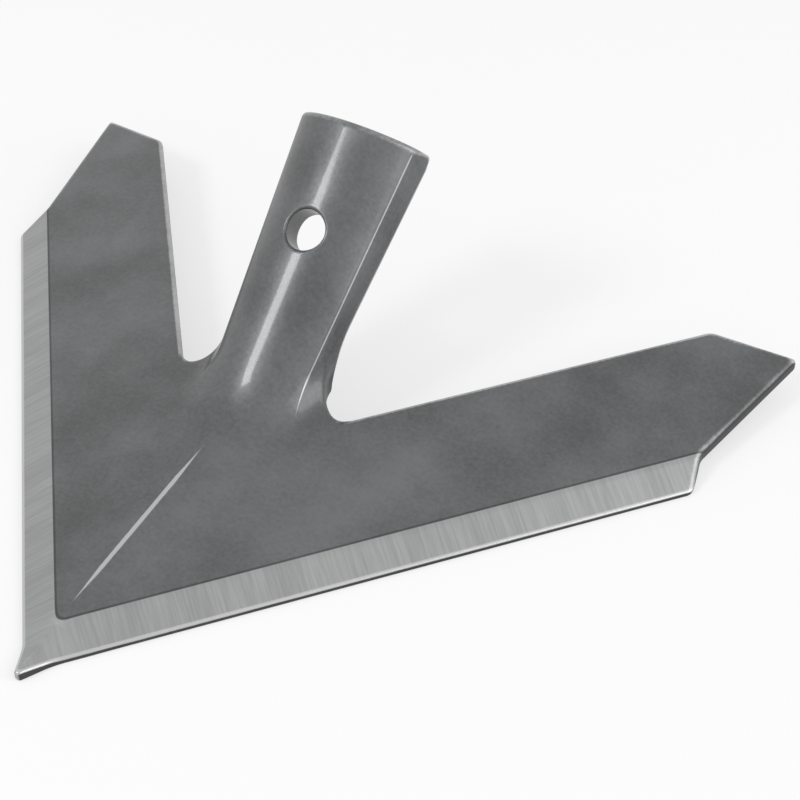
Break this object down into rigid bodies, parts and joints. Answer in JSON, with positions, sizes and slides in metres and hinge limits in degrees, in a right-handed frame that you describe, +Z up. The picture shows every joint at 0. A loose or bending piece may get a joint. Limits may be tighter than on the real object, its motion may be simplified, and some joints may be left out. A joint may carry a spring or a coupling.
{
  "type": "cultivator sweep",
  "caption": "V-shaped cultivator sweep with two raked wings, a ground cutting bevel, a drawn-out point and an arched bolt-on stem.",
  "frame": {"origin": "under the middle of the sweep's outline seen from above, on the plane in which its two cutting edges lie", "axes": "+X across the blade from the left wing to the right wing, -Y the direction of travel (the point is at -Y), +Z up"},
  "size_m": [0.231, 0.1926, 0.0727],
  "materials": {
    "forged_steel": "forged and hardened steel with a dull dark grey oxide, bright where the bevel is ground"
  },
  "bodies": {
    "root": {"sweep": "forged_steel"}
  },
  "joints": []
}
